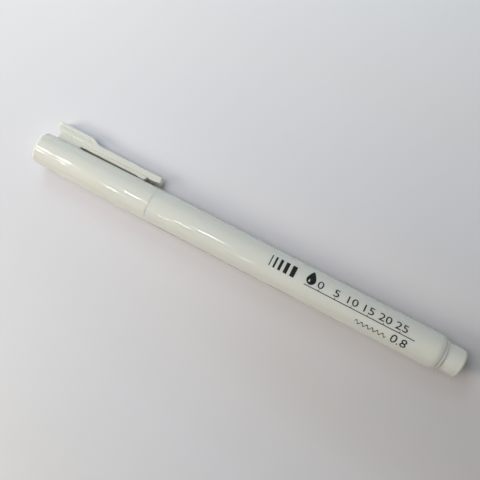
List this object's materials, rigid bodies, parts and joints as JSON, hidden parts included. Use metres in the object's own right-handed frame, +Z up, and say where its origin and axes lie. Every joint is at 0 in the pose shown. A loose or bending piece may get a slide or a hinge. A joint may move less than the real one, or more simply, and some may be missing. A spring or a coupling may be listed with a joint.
{
  "type": "felt tip marker",
  "caption": "Slim capped felt tip marker in white plastic: straight barrel, stepped tail plug, pull-off cap with a pocket clip, sleeved nib and ink reservoir inside.",
  "frame": {"origin": "on the resting surface, at the middle of the marker's bounding box, with the marker lying on its barrel and on the clip's head", "axes": "+X along the pen from the cap towards the tail plug, +Z up, +Y towards the side that the clip is on"},
  "size_m": [0.138, 0.015, 0.0105],
  "materials": {
    "white_plastic": "glossy moulded white",
    "black_plastic": "satin moulded black",
    "natural_plastic": "unpigmented, waxy",
    "clear_film": "thin glossy film",
    "ink_fibre": "bonded fibre soaked in black ink",
    "steel": "drawn steel tube"
  },
  "bodies": {
    "barrel": {"barrel": "white_plastic", "tail_plug": "white_plastic", "front_section": "black_plastic", "nib_sleeve": "steel", "nib": "ink_fibre", "ink_core": "ink_fibre", "core_wrap": "clear_film"},
    "inner_cap": {"cap_liner": "natural_plastic"},
    "cap": {"cap_shell": "white_plastic", "clip_head": "white_plastic"},
    "clip": {"clip_arm": "white_plastic"}
  },
  "joints": [
    {"name": "cap_pull", "type": "slide", "parent": "barrel", "child": "inner_cap", "axis": [-1, 0, 0], "range_m": [0, 0.045]},
    {"name": "cap_twist", "type": "hinge", "parent": "inner_cap", "child": "cap", "pos_m": [-0.0498, -0.00223, 0.00525], "axis": [1, 0, 0], "continuous": true},
    {"name": "clip_flex", "type": "hinge", "parent": "cap", "child": "clip", "pos_m": [-0.0577, 0.00506, 0.00247], "axis": [0, 0.3561, 0.9345], "range_deg": [0, 8], "stiffness_Nm_per_rad": 1.2}
  ]
}
